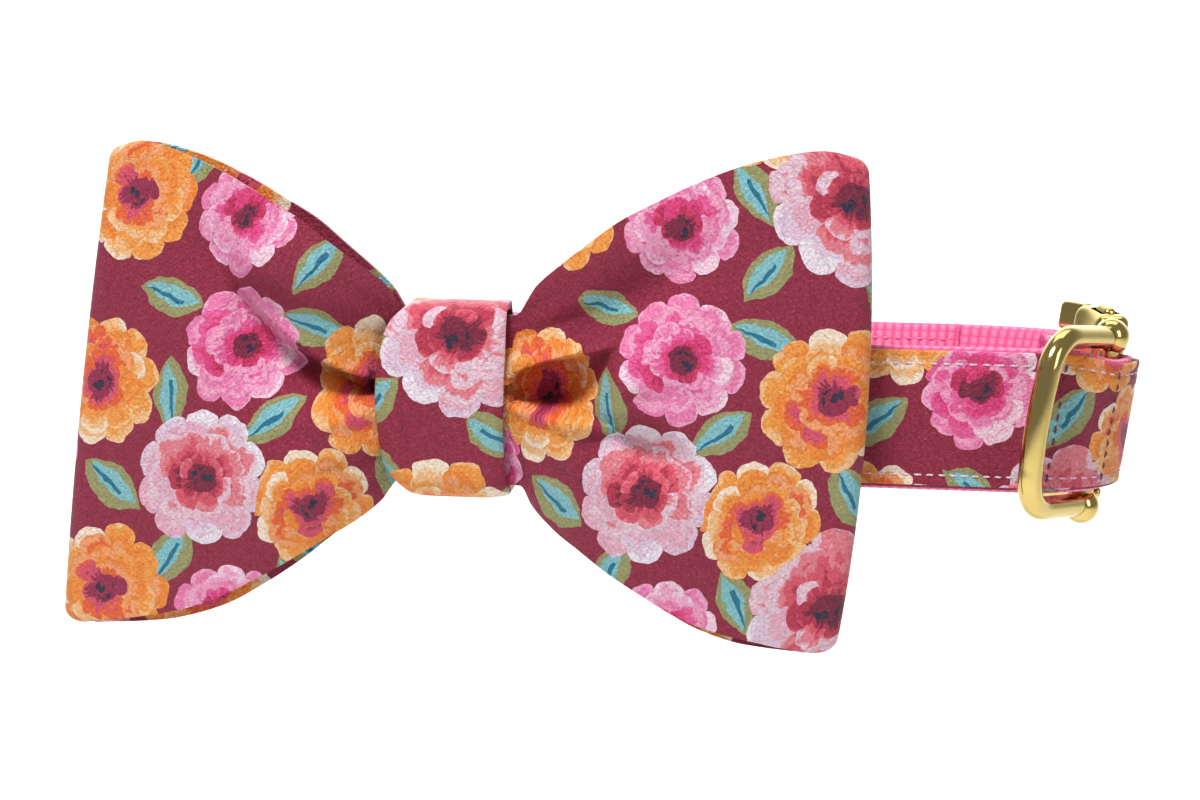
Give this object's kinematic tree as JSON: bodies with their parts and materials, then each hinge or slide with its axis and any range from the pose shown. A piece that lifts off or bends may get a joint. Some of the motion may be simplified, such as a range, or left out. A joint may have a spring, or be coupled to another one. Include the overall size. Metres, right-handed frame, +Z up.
{
  "type": "pet bow tie collar",
  "caption": "Fastened pet collar of webbing with a printed cotton cover, a large pinched cotton bow on a knot band, a D-ring and a curved metal buckle.",
  "frame": {"origin": "centre of the neck opening, halfway up the strap and halfway between its inner faces", "axes": "+X along the loop's long way, towards the buckle; +Y away from the bow, which faces -Y; +Z up, along the way the neck goes through the collar"},
  "size_m": [0.1919, 0.0717, 0.0876],
  "materials": {
    "printed_cotton": null,
    "webbing": "ribbed woven webbing, pink",
    "gold_metal": "polished gold-coloured plating"
  },
  "bodies": {
    "collar": {"collar_webbing": "webbing", "collar_cover": "printed_cotton", "bow_loop": "printed_cotton", "knot_band": "printed_cotton", "buckle_tongue": "gold_metal", "buckle_socket": "gold_metal"},
    "ring": {"d_ring": "gold_metal"}
  },
  "joints": [
    {"name": "ring_swing", "type": "hinge", "parent": "collar", "child": "ring", "pos_m": [0.08024, -0.01311, -0.00099], "axis": [0.1392, 0, 0.9903], "range_deg": [0, 132]}
  ]
}
